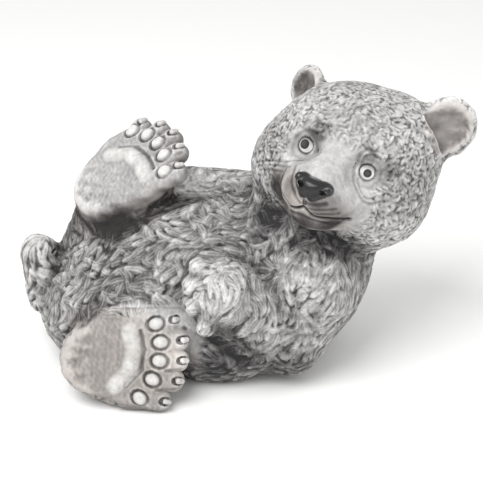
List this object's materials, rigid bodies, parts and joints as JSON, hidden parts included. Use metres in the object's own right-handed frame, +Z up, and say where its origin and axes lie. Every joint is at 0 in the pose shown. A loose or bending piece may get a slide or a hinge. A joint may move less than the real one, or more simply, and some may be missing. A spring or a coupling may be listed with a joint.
{
  "type": "garden statue of a bear cub",
  "caption": "Cast-stone garden figure of a panda or bear cub lying on its back, head turned to the viewer, soles up, with carved fur and a flat back to stand on.",
  "frame": {"origin": "centre of the bounding box in plan, on the ground that the cub's flat back rests on", "axes": "+X from the tail to the head, +Y away from the viewer, to the far side of the body, +Z up"},
  "size_m": [0.41, 0.2106, 0.259],
  "materials": {
    "cast_stone": "rough cast stone, dark in the crevices and rubbed pale on the high points"
  },
  "bodies": {
    "root": {"panda_cub": "cast_stone"}
  },
  "joints": []
}
